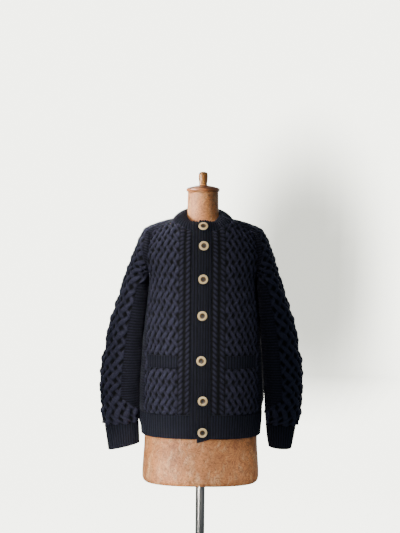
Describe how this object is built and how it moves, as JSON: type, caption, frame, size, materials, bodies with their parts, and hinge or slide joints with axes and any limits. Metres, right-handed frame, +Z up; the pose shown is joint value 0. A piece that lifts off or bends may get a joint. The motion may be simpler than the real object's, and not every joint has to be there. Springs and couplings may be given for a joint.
{
  "type": "aran cardigan on a limbless dress form",
  "caption": "Navy hand-knitted aran cardigan with patch pockets and buttons, on an antique limbless dress form with a steel pole and a round base.",
  "frame": {"origin": "on the floor under the middle of the base", "axes": "+Z up, the buttoned front faces -Y, the viewer's right is +X"},
  "size_m": [0.5653, 0.38, 1.5421],
  "materials": {
    "knit": "matte worsted wool, cable and lattice stitches, soft fuzz",
    "rib": "matte worsted wool, one-by-one rib",
    "buttons": "horn-like resin, cream rim and brown dished centre, satin polish",
    "torso": "aged papier-mache, tan, worn and flecked",
    "wood": "turned hardwood, waxed, worn",
    "pole": "drawn steel tube, dull polish",
    "base": "cast iron plate, plain grey"
  },
  "bodies": {
    "root": {"front_left": "knit", "front_right": "knit", "back": "knit", "sleeve_left": "knit", "sleeve_right": "knit", "pocket_left": "knit", "pocket_right": "knit", "pocket_top_left": "rib", "pocket_top_right": "rib", "cuff_left": "rib", "cuff_right": "rib", "welt_front_left": "rib", "welt_front_right": "rib", "welt_back": "rib", "neckband": "rib", "band_under": "rib", "band_over": "rib", "button_1": "buttons", "button_2": "buttons", "button_3": "buttons", "button_4": "buttons", "button_5": "buttons", "button_6": "buttons", "button_7": "buttons", "form_torso": "torso", "form_cap": "wood", "form_finial": "wood", "form_pole": "pole", "form_base": "base"}
  },
  "joints": []
}
